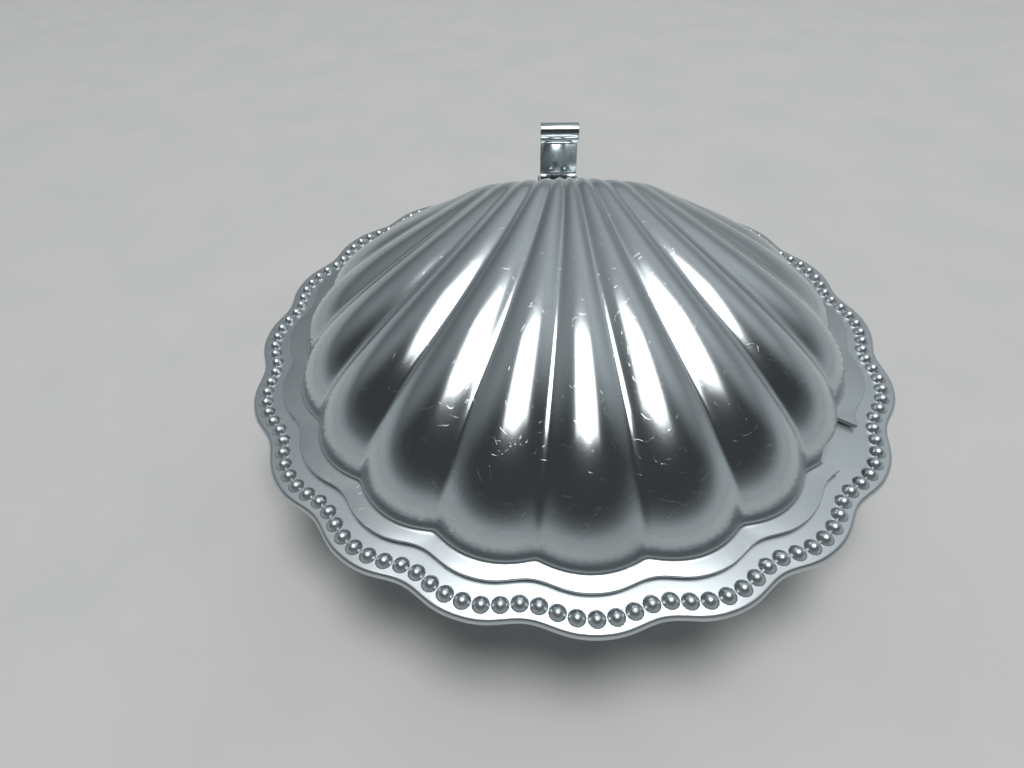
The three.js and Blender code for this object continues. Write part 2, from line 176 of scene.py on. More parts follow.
# Tones of the steel, clean and under a film of haze, of the glass and of the floor
COOL = (0.61, 0.66, 0.68, 1)
COOL_DULL = (0.55, 0.595, 0.615, 1)
LID_COOL = (0.6, 0.65, 0.67, 1)
LID_DULL = (0.53, 0.575, 0.595, 1)
GLASS_TINT = (0.95, 0.985, 0.97, 1)
FLOOR_TONES = ((0.69, 0.69, 0.68, 1), (0.72, 0.715, 0.705, 1))
FLOOR_MOTTLE = 1 / 30

# How rough each steel is, and what haze, marks and the lid's foot and back add to that
SATIN_ROUGHNESS = 0.34
BRIGHT_ROUGHNESS = 0.14
STRIP_ROUGHNESS = 0.12
LID_ROUGHNESS = 0.15
LID_FOOT_DULLER = 0.15
LID_BACK_DULLER = 0.09
HAZE_DULLER = 0.05
MARK_DULLER = 0.08

# Where the lid's foot and back begin and end, by the share of a flute's way from its foot to the umbo
LID_FOOT_SHARES = (0.0, 0.1)
LID_BACK_SHARES = (0.2, 0.6)

# Sizes and depths of the waves, haze, dents and scuffs in the steel, and of the ripples in the glass
WAVE_SIZE = 9 * MM
LID_WAVE_SIZE = 8 * MM
LID_WAVE_DEPTH = 0.03 * MM
HAZE_SIZE = 18 * MM
DENT_CELL = 1.7 * MM
DENT_RADIUS = 0.13 * MM
SCUFF_CELL = 0.5 * MM
SCUFF_RADIUS = 0.12 * MM
SCUFF_PATCH = 6 * MM
MARK_DEPTH = 0.003 * MM
LID_SCRATCH_DEPTH = 0.008 * MM
LID_DENT_DEPTH = 0.012 * MM
RIPPLE_SIZE = 6 * MM
RIPPLE_DEPTH = 0.05 * MM

# Scratches run three ways. Each way has its turn in degrees, bend, width and patch, and how much rarer it is
SCRATCH_WAYS = (
    ((12, 25, 35), 3.5 * MM, 0.03 * MM, 2 * MM, 0.0),
    ((-35, 50, -50), 6 * MM, 0.03 * MM, 1.6 * MM, 0.02),
    ((60, -20, 80), 9 * MM, 0.035 * MM, 3 * MM, 0.02),
)

# The room's tone by how high one looks, from the horizon up: dark on the viewer's side, and paler behind
FRONT_TONES = [(0.0, 0.46), (0.07, 0.4), (0.27, 0.15), (0.55, 0.06), (1.0, 0.05)]
BACK_TONES = [(0.0, 0.46), (0.07, 0.4), (0.4, 0.28), (0.85, 0.58), (1.0, 0.5)]
LEFT_TONES = [(0.0, 0.46), (0.07, 0.4), (0.3, 0.16), (0.85, 0.32), (1.0, 0.3)]
AIR_TINT = (0.94, 1.0, 1.03)

# Where one side's tone gives way to the other's, by the direction that one looks in
LEFT_TO_RIGHT = (-0.6, 0.6)
FRONT_TO_BACK = (-0.15, 0.35)

# The floor's half width and the softbox's place and size in metres, and the two lamps' strengths
FLOOR_HALF = 60.0
SUN_LEAN = math.radians(3)
SUN_WIDTH = math.radians(30)
SUN_STRENGTH = 1.05
SOFTBOX_PLACE = (0.05, 0.0, 1.0)
SOFTBOX_SIZE = (0.66, 0.56)
SOFTBOX_POWER = 2.2

# Camera: solved from the round rim, its lobes and its beads, in the photograph's 1024 by 768 pixels
VIEW_WIDTH = 1024
VIEW_MIDDLE = (512, 384)
FOCAL_PIXELS = 579
RIM_PIXEL = (565.1, 329.9)
CAMERA_RIM_RADII = 1.968
CAMERA_TILT = math.radians(40.8)
CAMERA_ROLL = math.radians(3.31)
DISH_TURN = math.radians(4.1)
SENSOR_WIDTH = 36.0
NEAREST_SEEN = 5 * MM

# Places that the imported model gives
tray_low, tray_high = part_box("tray")
lid_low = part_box("lid_shell")[0]
pin_low, pin_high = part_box("hinge_pin")
RIM_RADIUS = tray_high.x - LOBE_SWING
RIM_CENTRE_Y = tray_low.y + tray_high.x
RIM_LEVEL = lid_low.z - SEAT_GAP
FLANGE_TOP = lid_low.z + LID_SHEET
HINGE_Y = (pin_low.y + pin_high.y) / 2 - RIM_CENTRE_Y
HINGE_LEVEL = (pin_low.z + pin_high.z) / 2

# Radii and levels that follow
MOUTH_RADIUS = RIM_RADIUS - BAND_WIDTH
FLOOR_RADIUS = MOUTH_RADIUS - WELL_SLOPE
RIDGE_FOOT = RIM_RADIUS - FLANGE_INSET + LOBE_SWING - FLANGE_WIDTH
VALLEY_FOOT = RIDGE_FOOT - FLUTE_DEPTH
WALL_BACK = RIDGE_FOOT - DOME_FORWARD
DOME_MIDDLE = np.array([0.0, -DOME_FORWARD, 0.0])
RIM_BACK = RIM_RADIUS + LOBE_SWING
TONGUE_BACK = RIM_BACK - FLANGE_INSET + TONGUE_REACH
TONGUE_WIDTH = HINGE_WIDTH + 2 * TONGUE_MARGIN
LID_LEAF_LEVEL = FLANGE_TOP + PLATE_GAP + LEAF_SHEET / 2
TRAY_LEAF_LEVEL = RIM_LEVEL - TRAY_SHEET - PLATE_GAP - LEAF_SHEET / 2
KNUCKLE_RADIUS = (LID_LEAF_LEVEL - TRAY_LEAF_LEVEL) / 2
BARREL_RADIUS = KNUCKLE_RADIUS + LEAF_SHEET / 2
PIN_RADIUS = KNUCKLE_RADIUS - LEAF_SHEET / 2 - PIN_CLEARANCE
LEAF_FRONT = WALL_BACK + LEAF_INSET
LEAF_BACK = HINGE_Y - BARREL_RADIUS - KNUCKLE_SPACE
LEVER_FOOT_LEVEL = LID_LEAF_LEVEL + LEAF_SHEET / 2 + PLATE_GAP + LEVER_SHEET / 2
CAMERA_DISTANCE = CAMERA_RIM_RADII * RIM_RADIUS


# Points are drawn round the middle of the rim; this gives them their place
def placed(points):
    points = np.array(points, float)
    points[..., 1] += RIM_CENTRE_Y
    return points


def polar(radius, angle, z):
    radius, angle, z = np.broadcast_arrays(radius, angle, z)
    return np.stack([radius * np.sin(angle), -radius * np.cos(angle), z], axis=-1)


def lobe_wave(angle):
    phase = LOBE_COUNT * (angle - LOBE_TURN)
    return np.cos(phase) - LOBE_SHARPNESS * (np.cos(2 * phase) - 1)


def rim_outline(angle, inset):
    return RIM_RADIUS - inset + LOBE_SWING * lobe_wave(angle)


# 1 on the ridge of a flute and 0 in the crease, where softness rounds the bottom of the crease
def flute_arch(angle, softness=0.0):
    across = (angle - LOBE_TURN) * LOBE_COUNT / FULL_TURN
    from_crease = 1 - np.abs(2 * (across - np.round(across)))
    rounded = np.sqrt(from_crease ** 2 + softness ** 2) - softness
    full = np.sqrt(1 + softness ** 2) - softness
    share = rounded / full
    return share * (2 - share)


# How deep a flute of the well is pressed in, at its top
def well_flute(angle):
    return WELL_FLUTE_DEPTH * (1 - flute_arch(angle, WELL_CREASE))


def ring_angles():
    count = LOBE_COUNT * POINTS_PER_LOBE
    return LOBE_TURN + np.arange(count) * FULL_TURN / count


def quarter_tilts(steps):
    return [QUARTER_TURN * i / steps for i in range(steps + 1)]


# The way of a flute: up to halfway it climbs the wall to the crest, and from there it falls to the umbo
def flute_run(share):
    up = np.clip(2 * share, 0, 1)
    past = np.clip(2 * share - 1, 0, 1)
    first = 3 * up * (1 - up) ** 2
    second = 3 * up ** 2 * (1 - up)
    third = up ** 3
    along = CREST_PLACE * (second * CREST_FULLNESS + third) + (1 - CREST_PLACE) * past
    climb = first * WALL_FULLNESS + second + third
    return along, np.where(past > 0, (1 - past ** 2) ** 2, climb)


def crease_point(angle, share, shrink):
    along, rise = flute_run(share)
    foot_radius = VALLEY_FOOT - shrink
    backness = (1 - np.cos(angle)) / 2
    foot = polar(foot_radius, angle, 0.0) + DOME_MIDDLE
    umbo = np.array([0.0, WALL_BACK - UMBO_INSET - shrink, 0.0])
    flare = FLARE_FRONT + (FLARE_BACK - FLARE_FRONT) * backness
    reach = flare * np.linalg.norm(foot - umbo, axis=-1)
    turning = foot + (DOME_MIDDLE - foot) * (reach / foot_radius)[..., None]
    along = along[..., None]
    point = foot * (1 - along) ** 2 + turning * 2 * along * (1 - along) + umbo * along ** 2
    lift = UMBO_HEIGHT * (1 - (1 - along[..., 0]) ** 2)
    point[..., 2] = FLANGE_TOP - shrink + DOME_RISE * (1 - backness ** 2) * rise + lift
    return point


def crease_softness(share):
    return CREASE_FOOT + CREASE_TOP * np.clip(share * CREASE_REACH, 0, 1) ** CREASE_POWER


# The flutes stand out along the normal; they are crisp at their feet and grow soft and shallow at the umbo
def dome_point(angle, share, shrink):
    step = 0.003
    share = np.broadcast_to(share, np.shape(angle)).astype(float)
    point = crease_point(angle, share, shrink)
    sideways = crease_point(angle + step, share, shrink) - crease_point(angle - step, share, shrink)
    high = crease_point(angle, np.minimum(1, share + step), shrink)
    low = crease_point(angle, np.maximum(0, share - step), shrink)
    normal = np.cross(sideways, high - low)
    normal /= np.linalg.norm(normal, axis=-1, keepdims=True) + 1e-12
    along, _ = flute_run(share)
    bulge = FLUTE_DEPTH * (1 - along) ** FLUTE_FADE * flute_arch(angle, crease_softness(share))
    return point + normal * bulge[..., None]


# The fillet between the flange and the foot of the wall is a curve whose corner is the foot itself. The wall
# ends where it is as high as the fillet, and halving finds that place on every flute
def foot_fillet(angle, shrink):
    low = np.zeros(angle.shape)
    high = np.full(angle.shape, FILLET_REACH)
    for _ in range(HALVINGS):
        share = (low + high) / 2
        height = dome_point(angle, share, shrink)[..., 2] - (FLANGE_TOP - shrink)
        low = np.where(height < FOOT_FILLET, share, low)
        high = np.where(height < FOOT_FILLET, high, share)
    wall = dome_point(angle, share, shrink)
    foot_radius = VALLEY_FOOT + FLUTE_DEPTH * flute_arch(angle, CREASE_FOOT) - shrink
    corner = polar(foot_radius, angle, FLANGE_TOP - shrink) + DOME_MIDDLE
    flat = polar(foot_radius + FOOT_FILLET, angle, FLANGE_TOP - shrink) + DOME_MIDDLE
    rings = []
    for i in range(FILLET_RINGS + 1):
        t = i / FILLET_RINGS
        rings.append(wall * (1 - t) ** 2 + corner * 2 * t * (1 - t) + flat * t ** 2)
    return share, rings


def linked(name, data):
    made = bpy.data.objects.new(name, data)
    bpy.context.scene.collection.objects.link(made)
    return made


# A closed mesh from rings of equal length and a pole at each end; shares are kept as an attribute
def skin(name, rings, first_pole, last_pole, shares=None):
    count = len(rings[0])
    around = np.arange(count)
    after = (around + 1) % count
    vertices = np.concatenate(rings)
    first = len(vertices)
    last = first + 1
    base = first - count
    faces = []
    for i in range(len(rings) - 1):
        low = i * count
        high = low + count
        faces += np.stack([low + around, high + around, high + after, low + after], axis=1).tolist()
    faces += np.stack([np.full(count, first), around, after], axis=1).tolist()
    faces += np.stack([base + around, np.full(count, last), base + after], axis=1).tolist()
    vertices = np.vstack([vertices, first_pole, last_pole])
    mesh = bpy.data.meshes.new(name)
    mesh.from_pydata(placed(vertices).tolist(), [], faces)
    if shares:
        flat = [np.broadcast_to(share, count) for share in shares]
        poles = [flat[0][0], flat[0][0]]
        layer = mesh.attributes.new("share", "FLOAT", "POINT")
        layer.data.foreach_set("value", np.concatenate(flat + [poles]).astype(np.float32))
    return linked(name, mesh)


def smooth(piece):
    piece.data.shade_smooth()
    piece.data.set_sharp_from_angle(angle=SMOOTH_ANGLE)
    return piece


def outward(piece):
    work = bmesh.new()
    work.from_mesh(piece.data)
    bmesh.ops.remove_doubles(work, verts=work.verts, dist=WELD_DISTANCE)
    bmesh.ops.recalc_face_normals(work, faces=work.faces)
    work.to_mesh(piece.data)
    work.free()
    return piece


# Applies a piece's modifiers to its mesh
def settle(piece):
    bpy.context.view_layer.update()
    graph = bpy.context.evaluated_depsgraph_get()
    final = piece.evaluated_get(graph)
    mesh = bpy.data.meshes.new_from_object(final, preserve_all_data_layers=True, depsgraph=graph)
    piece.modifiers.clear()
    piece.data = mesh
    return piece


def combine(piece, operation, *tools):
    for tool in tools:
        boolean = piece.modifiers.new("boolean", "BOOLEAN")
        boolean.operation = operation
        boolean.solver = "EXACT"
        boolean.object = tool
    settle(piece)
    for tool in tools:
        bpy.data.objects.remove(tool)
    return piece


def joined(name, parts):
    work = bmesh.new()
    for part in parts:
        work.from_mesh(part.data)
    mesh = bpy.data.meshes.new(name)
    work.to_mesh(mesh)
    work.free()
    for part in parts:
        bpy.data.objects.remove(part)
    return linked(name, mesh)


# An outline in a plane, pulled out along the third axis and given its place by a matrix
def prism(name, outline, depth, matrix):
    count = len(outline)
    flat = np.array(outline, float)
    near = np.column_stack([flat, np.zeros(count)])
    far = np.column_stack([flat, np.full(count, depth)])
    faces = [list(range(count))[::-1], list(range(count, 2 * count))]
    for i in range(count):
        j = (i + 1) % count
        faces.append([i, j, count + j, count + i])
    mesh = bpy.data.meshes.new(name)
    mesh.from_pydata(np.vstack([near, far]).tolist(), [], faces)
    mesh.transform(matrix)
    mesh.transform(Matrix.Translation((0, RIM_CENTRE_Y, 0)))
    return outward(linked(name, mesh))


def at_level(z):
    return Matrix.Translation((0, 0, z))


# From a Y-Z outline to a body that is centred on a place along X
def across_x(name, outline, width, middle_x):
    axes = Matrix(((0, 0, 1, middle_x - width / 2), (1, 0, 0, 0), (0, 1, 0, 0), (0, 0, 0, 1)))
    return prism(name, outline, width, axes)


def box_outline(low_x, high_x, low_y, high_y):
    return [(low_x, low_y), (high_x, low_y), (high_x, high_y), (low_x, high_y)]


# An outline with a straight bottom, whose two upper corners are rounded
def arched_outline(side, bottom, top, corner):
    arc = quarter_tilts(CORNER_STEPS)
    right = [(side - corner + corner * math.cos(t), top - corner + corner * math.sin(t)) for t in arc]
    left = [(-x, y) for x, y in right[::-1]]
    return [(-side, bottom), (side, bottom)] + right + left


def soften_edges(piece, width):
    bevel = piece.modifiers.new("soft edges", "BEVEL")
    bevel.width = width
    bevel.segments = 3
    bevel.limit_method = "ANGLE"
    bevel.angle_limit = BEVEL_ANGLE
    return settle(piece)


# Outline of a bent strip; each move is a run or a bend, and a positive bend turns to the left
def strip_outline(start, sheet, moves):
    spots = [(np.array(start, float), 0.0)]
    for kind, *sizes in moves:
        at, now = spots[-1]
        if kind == "run":
            spots.append((at + sizes[0] * np.array([math.cos(now), math.sin(now)]), now))
            continue
        radius, turn = sizes
        side = math.copysign(1, turn)
        centre = at + side * radius * np.array([-math.sin(now), math.cos(now)])
        steps = max(4, math.ceil(abs(turn) / FINE_ARC))
        for i in range(1, steps + 1):
            facing = now + turn * i / steps
            arm = side * radius * np.array([math.sin(facing), -math.cos(facing)])
            spots.append((centre + arm, facing))

    def edge(side):
        return [at + side * sheet / 2 * np.array([-math.sin(now), math.cos(now)]) for at, now in spots]

    return edge(-1) + edge(1)[::-1]


# A body turned round an axis; the profile holds (radius, height) pairs and starts and ends on the axis
def turned_piece(name, profile, place):
    angles = np.arange(TURNED_SIDES) * FULL_TURN / TURNED_SIDES
    rings = [polar(radius, angles, height) for radius, height in profile[1:-1]]
    piece = skin(name, rings, (0, 0, profile[0][1]), (0, 0, profile[-1][1]))
    piece.data.transform(Matrix.Translation((0, -RIM_CENTRE_Y, 0)))
    piece.data.transform(place)
    return smooth(outward(piece))


def well_point(angle, share, outwards, floor_level, top_level):
    quarter = share * QUARTER_TURN
    radius = FLOOR_RADIUS + (WELL_SLOPE + outwards) * math.sin(quarter) - share * well_flute(angle)
    return polar(radius, angle, top_level - (top_level - floor_level) * math.cos(quarter))


def well_wall(angle, outwards, floor_level, top_level):
    shares = [i / WELL_RINGS for i in range(WELL_RINGS + 1)]
    return [well_point(angle, share, outwards, floor_level, top_level) for share in shares]


# The flat bottom of the well, from near its middle out to the wall
def well_floor(angle, level):
    return [polar(FLOOR_RADIUS * share, angle, level) for share in FLOOR_SHARES]


# The well's mouth rounds over into the flat of the rim
def mouth(angle, level):
    rings = []
    for i in range(1, MOUTH_STEPS + 1):
        tilt = QUARTER_TURN * i / MOUTH_STEPS
        wall = MOUTH_RADIUS - well_flute(angle) * (1 - i / MOUTH_STEPS)
        radius = wall + MOUTH_ROUND * (1 - math.cos(tilt))
        rings.append(polar(radius, angle, level + MOUTH_ROUND * math.sin(tilt)))
    rings.append(polar(MOUTH_RADIUS + MOUTH_LAND, angle, RIM_LEVEL))
    return rings


# The rim's edge rolls over and hangs down as a lip, with a broken corner outside and inside
def lip(angle, underside):
    rings = []
    for tilt in quarter_tilts(LIP_STEPS):
        inset = LIP_ROUND * (1 - math.sin(tilt))
        rings.append(polar(rim_outline(angle, inset), angle, RIM_LEVEL - LIP_ROUND * (1 - math.cos(tilt))))
    foot = RIM_LEVEL - LIP_DEPTH
    corners = [
        (0, foot + LIP_OUTER_BREAK),
        (LIP_OUTER_BREAK, foot),
        (TRAY_SHEET - LIP_INNER_BREAK, foot),
        (TRAY_SHEET, foot + LIP_INNER_BREAK),
        (TRAY_SHEET, underside),
    ]
    return rings + [polar(rim_outline(angle, inset), angle, level) for inset, level in corners]


# The hinge leaf passes through the lip at the back
def leaf_passage(underside):
    half = HINGE_WIDTH / 2 + SEAT_GAP
    front = RIM_RADIUS - LOBE_SWING - TRAY_SHEET - LIP_DEPTH
    outline = box_outline(-half, half, front, RIM_BACK + LIP_DEPTH)
    return prism("passage", outline, LIP_DEPTH * 2, at_level(underside - LIP_DEPTH * 2))


def tray_body():
    angle = ring_angles()
    underside = RIM_LEVEL - TRAY_SHEET
    inside_top = RIM_LEVEL - MOUTH_ROUND
    floor_top = RIM_LEVEL - WELL_DEPTH
    floor_bottom = floor_top - TRAY_SHEET
    rings = well_floor(angle, floor_top) + well_wall(angle, 0, floor_top, inside_top)
    rings += mouth(angle, inside_top) + lip(angle, underside)
    rings += well_wall(angle, TRAY_SHEET, floor_bottom, underside)[::-1]
    rings += well_floor(angle, floor_bottom)[::-1]
    body = outward(skin("tray_body", rings, (0, 0, floor_top), (0, 0, floor_bottom)))
    return smooth(combine(body, "DIFFERENCE", leaf_passage(underside)))


class Value:
    """A socket of a node tree; an expression on numbers adds Math nodes."""

    def __init__(self, tree, socket):
        self.tree = tree
        self.socket = socket

    def _math(self, operation, *values):
        return self.tree.node("ShaderNodeMath", {"operation": operation}, dict(enumerate(values)))

    def __add__(self, other):
        return self._math("ADD", self, other)

    __radd__ = __add__

    def __sub__(self, other):
        return self._math("SUBTRACT", self, other)

    def __rsub__(self, other):
        return self._math("SUBTRACT", other, self)

    def __mul__(self, other):
        return self._math("MULTIPLY", self, other)

    __rmul__ = __mul__

    def __truediv__(self, other):
        return self._math("DIVIDE", self, other)

    def __pow__(self, other):
        return self._math("POWER", self, other)

    def below(self, other):
        return self._math("LESS_THAN", self, other)

    def size(self):
        return self._math("ABSOLUTE", self)

    def least(self, other):
        return self._math("MINIMUM", self, other)

    def most(self, other):
        return self._math("MAXIMUM", self, other)

    def between(self, low, high):
        sockets = {"Value": self, "From Min": low, "From Max": high}
        return self.tree.node("ShaderNodeMapRange", {"interpolation_type": "SMOOTHSTEP"}, sockets)


class Tree:
    """A node tree that is built node by node, through one method."""

    def __init__(self, tree):
        self.tree = tree
        self.tree.nodes.clear()

    def node(self, kind, settings=None, sockets=None, output=0):
        new = self.tree.nodes.new(kind)
        for key, value in (settings or {}).items():
            if key == "stops":
                ramp = new.color_ramp
                for index, (place, color) in enumerate(value):
                    stop = ramp.elements[index] if index < 2 else ramp.elements.new(place)
                    stop.position = place
                    stop.color = color
            else:
                setattr(new, key, value)
        for key, value in (sockets or {}).items():
            if isinstance(value, Value):
                self.tree.links.new(value.socket, new.inputs[key])
            else:
                new.inputs[key].default_value = value
        return Value(self, new.outputs[output]) if new.outputs else None

    def split(self, vector):
        return [self.node("ShaderNodeSeparateXYZ", sockets={0: vector}, output=i) for i in range(3)]


class GeometryTree(Tree):
    """A geometry tree with named inputs for its sizes."""

    def __init__(self, name, sizes):
        super().__init__(bpy.data.node_groups.new(name, "GeometryNodeTree"))
        face = self.tree.interface
        face.new_socket("Geometry", in_out="INPUT", socket_type="NodeSocketGeometry")
        self.inputs = {}
        for size, kind in sizes.items():
            self.inputs[size] = face.new_socket(size, in_out="INPUT", socket_type=kind).identifier
        face.new_socket("Geometry", in_out="OUTPUT", socket_type="NodeSocketGeometry")

    def given(self, name):
        return self.node("NodeGroupInput", output=name)


# Beads stand along the line that they are given; the line is left open where the hinge passes
def bead_tree(material):
    build = GeometryTree("bead line", {
        "Bead radius": "NodeSocketFloat",
        "Bead height": "NodeSocketFloat",
        "Skirt": "NodeSocketFloat",
        "Bead count": "NodeSocketInt",
        "Half gap": "NodeSocketFloat",
        "Root": "NodeSocketFloat",
    })
    line = build.node("GeometryNodeMeshToCurve", sockets={0: build.given("Geometry")})
    beads_along = {"Curve": line, "Count": build.given("Bead count")}
    even = build.node("GeometryNodeResampleCurve", sockets=beads_along)
    ball_sizes = {"Segments": BEAD_SEGMENTS, "Rings": BEAD_RINGS, "Radius": build.given("Bead radius")}
    ball = build.node("GeometryNodeMeshUVSphere", sockets=ball_sizes)
    x, y, z = build.split(build.node("GeometryNodeInputPosition"))
    level = z / build.given("Bead radius")
    upper = level.most(0.0)
    lower = (-1 * level).most(0.0).least(1.0)
    wider = 1 + build.given("Skirt") * (1 - upper) ** BEAD_SKIRT_POWER
    height = build.given("Bead height") * upper ** BEAD_CROWN_POWER + build.given("Root") * lower
    spot = build.node("ShaderNodeCombineXYZ", sockets={0: x * wider, 1: y * wider, 2: height})
    dome = build.node("GeometryNodeSetPosition", sockets={"Geometry": ball, "Position": spot})
    beads = build.node("GeometryNodeInstanceOnPoints", sockets={"Points": even, "Instance": dome})
    gone = x.size().below(build.given("Half gap")) * (0 - y).below(0.0)
    instances = {"domain": "INSTANCE"}
    kept = build.node("GeometryNodeDeleteGeometry", instances, {"Geometry": beads, "Selection": gone})
    real = build.node("GeometryNodeRealizeInstances", sockets={0: kept})
    shaded = build.node("GeometryNodeSetShadeSmooth", sockets={"Geometry": real})
    coated = build.node("GeometryNodeSetMaterial", sockets={"Geometry": shaded, "Material": material})
    build.node("NodeGroupOutput", sockets={0: coated})
    return build


def bead_line(material):
    angle = ring_angles()
    count = len(angle)
    points = polar(rim_outline(angle, BEAD_INSET), angle, RIM_LEVEL)
    edges = [[i, (i + 1) % count] for i in range(count)]
    mesh = bpy.data.meshes.new("rim_beads")
    mesh.from_pydata(placed(points).tolist(), edges, [])
    piece = linked("rim_beads", mesh)
    lobe_length = FULL_TURN * (RIM_RADIUS - BEAD_INSET) / LOBE_COUNT
    sizes = {
        "Bead radius": BEAD_DIAMETER / 2,
        "Bead height": BEAD_HEIGHT,
        "Skirt": BEAD_SKIRT,
        "Bead count": math.floor(lobe_length / (BEAD_DIAMETER + BEAD_SPACE)) * LOBE_COUNT,
        "Half gap": (TONGUE_WIDTH + BEAD_DIAMETER) / 2 + SEAT_GAP,
        "Root": -TRAY_SHEET / 2,
    }
    build = bead_tree(material)
    modifier = piece.modifiers.new("beads", "NODES")
    modifier.node_group = build.tree
    for name, value in sizes.items():
        modifier[build.inputs[name]] = value
    return settle(piece)


def rivet_places():
    return [(side * RIVET_SPACING / 2, WALL_BACK + RIVET_INSET) for side in (-1, 1)]


def rivet_hole(x, y):
    radius = RIVET_SHANK_RADIUS + RIVET_CLEARANCE
    turns = np.arange(HOLE_SIDES) * FULL_TURN / HOLE_SIDES
    outline = [(x + radius * math.cos(t), y + radius * math.sin(t)) for t in turns]
    return prism("hole", outline, 3 * LID_SHEET, at_level(FLANGE_TOP - 2 * LID_SHEET))


def tongue():
    outline = arched_outline(TONGUE_WIDTH / 2, WALL_BACK + FOOT_FILLET, TONGUE_BACK, TONGUE_WIDTH / 6)
    return soften_edges(prism("tongue", outline, LID_SHEET, at_level(FLANGE_TOP - LID_SHEET)), TONGUE_EDGE)


def notch_tool():
    outline = arched_outline(NOTCH_WIDTH / 2, -LID_SHEET - SEAT_GAP, NOTCH_HEIGHT, NOTCH_ROUND)
    inner = VALLEY_FOOT - DOME_FORWARD - 2 * (LID_SHEET + FLUTE_DEPTH)
    outer = RIM_RADIUS - FLANGE_INSET + 2 * LOBE_SWING
    turn = Matrix.Rotation(NOTCH_ANGLE, 4, "Z")
    lift = Matrix.Translation((0, -inner, FLANGE_TOP))
    upright = Matrix.Rotation(QUARTER_TURN, 4, "X")
    return prism("notch", outline, outer - inner, turn @ lift @ upright)


# The flange's edge, rounded over at its top, with its underside set back
def flange_edge(angle):
    bottom = FLANGE_TOP - LID_SHEET
    rings = []
    for tilt in quarter_tilts(EDGE_STEPS):
        back = EDGE_ROUND * (1 - math.sin(tilt))
        level = FLANGE_TOP - EDGE_ROUND * (1 - math.cos(tilt))
        rings.append(polar(rim_outline(angle, FLANGE_INSET + back), angle, level))
    for tilt in quarter_tilts(EDGE_STEPS)[::-1]:
        back = EDGE_UNDERCUT * (1 - math.sin(tilt))
        level = bottom + EDGE_UNDERCUT * (1 - math.cos(tilt))
        rings.append(polar(rim_outline(angle, FLANGE_INSET + back), angle, level))
    return rings


def lid_skin():
    angle = ring_angles()
    outer_start, outer_fillet = foot_fillet(angle, 0)
    inner_start, inner_fillet = foot_fillet(angle, LID_SHEET)
    rings = []
    shares = []
    for i in range(DOME_RINGS):
        place = (1 - (i + FIRST_RING) / DOME_RINGS) ** RING_SPREAD
        shares.append(outer_start + place * (1 - outer_start))
        rings.append(dome_point(angle, shares[-1], 0))
    shares += [outer_start * (1 - i / FILLET_RINGS) for i in range(FILLET_RINGS + 1)]
    rings += outer_fillet
    flat = flange_edge(angle) + inner_fillet[::-1]
    shares += [0.0] * len(flat)
    rings += flat
    for i in range(INNER_DOME_RINGS):
        place = ((i + 1 - FIRST_RING) / INNER_DOME_RINGS) ** RING_SPREAD
        shares.append(inner_start + place * (1 - inner_start))
        rings.append(dome_point(angle, shares[-1], LID_SHEET))
    top, under = (crease_point(np.array([0.0]), np.array([1.0]), shrink)[0] for shrink in (0, LID_SHEET))
    return outward(skin("lid_body", rings, top, under, shares))


def lid_body():
    body = combine(lid_skin(), "UNION", tongue())
    tools = [notch_tool()] + [rivet_hole(x, y) for x, y in rivet_places()]
    return smooth(combine(body, "DIFFERENCE", *tools))


def leaf(name, level, turn, knuckles):
    outline = box_outline(LEAF_FRONT, LEAF_BACK, level - LEAF_SHEET / 2, level + LEAF_SHEET / 2)
    parts = [soften_edges(across_x("plate", outline, HINGE_WIDTH, 0), STRIP_EDGE)]
    start = (LEAF_BACK - KNUCKLE_ROOT, level)
    moves = [("run", HINGE_Y - start[0]), ("bend", KNUCKLE_RADIUS, turn)]
    for middle, width in knuckles:
        roll = across_x("knuckle", strip_outline(start, LEAF_SHEET, moves), width, middle)
        parts.append(soften_edges(roll, STRIP_EDGE))
    return smooth(joined(name, parts))


def tray_leaf():
    width = (HINGE_WIDTH - LID_KNUCKLE_WIDTH) / 2 - KNUCKLE_SPACE
    middle = (HINGE_WIDTH - width) / 2
    return leaf("tray_leaf", TRAY_LEAF_LEVEL, KNUCKLE_TURN, [(-middle, width), (middle, width)])


def lid_leaf():
    return leaf("lid_leaf", LID_LEAF_LEVEL, -KNUCKLE_TURN, [(0, LID_KNUCKLE_WIDTH)])


def lever():
    upright_turn = QUARTER_TURN - LEVER_LEAN
    roll_top = RIM_LEVEL + LEVER_HEIGHT - LEVER_SHEET / 2
    roll_start = roll_top - ROLL_RADIUS - ROLL_RADIUS * math.sin(LEVER_LEAN)
    bend_rise = LEVER_BEND_RADIUS * (1 - math.cos(upright_turn))
    moves = [
        ("run", HINGE_Y - LEVER_SETBACK - LEVER_BEND_RADIUS - LEAF_FRONT),
        ("bend", LEVER_BEND_RADIUS, upright_turn),
        ("run", (roll_start - LEVER_FOOT_LEVEL - bend_rise) / math.cos(LEVER_LEAN)),
        ("bend", ROLL_RADIUS, ROLL_TURN),
    ]
    outline = strip_outline((LEAF_FRONT, LEVER_FOOT_LEVEL), LEVER_SHEET, moves)
    return smooth(soften_edges(across_x("lever_strap", outline, HINGE_WIDTH, 0), STRIP_EDGE))


def pin():
    half = HINGE_WIDTH / 2 + PLATE_GAP
    end = half + PIN_HEAD_HEIGHT
    head = [
        (0, -end),
        (PIN_HEAD_FLAT, -end),
        (PIN_HEAD_SHOULDER, -end + PIN_HEAD_BREAK),
        (PIN_HEAD_RADIUS, -half),
    ]
    profile = head + [(PIN_RADIUS, -half), (PIN_RADIUS, half)] + [(r, -z) for r, z in head[::-1]]
    place = Matrix.Translation((0, HINGE_Y + RIM_CENTRE_Y, HINGE_LEVEL))
    return turned_piece("pin", profile, place @ Matrix.Rotation(QUARTER_TURN, 4, "Y"))


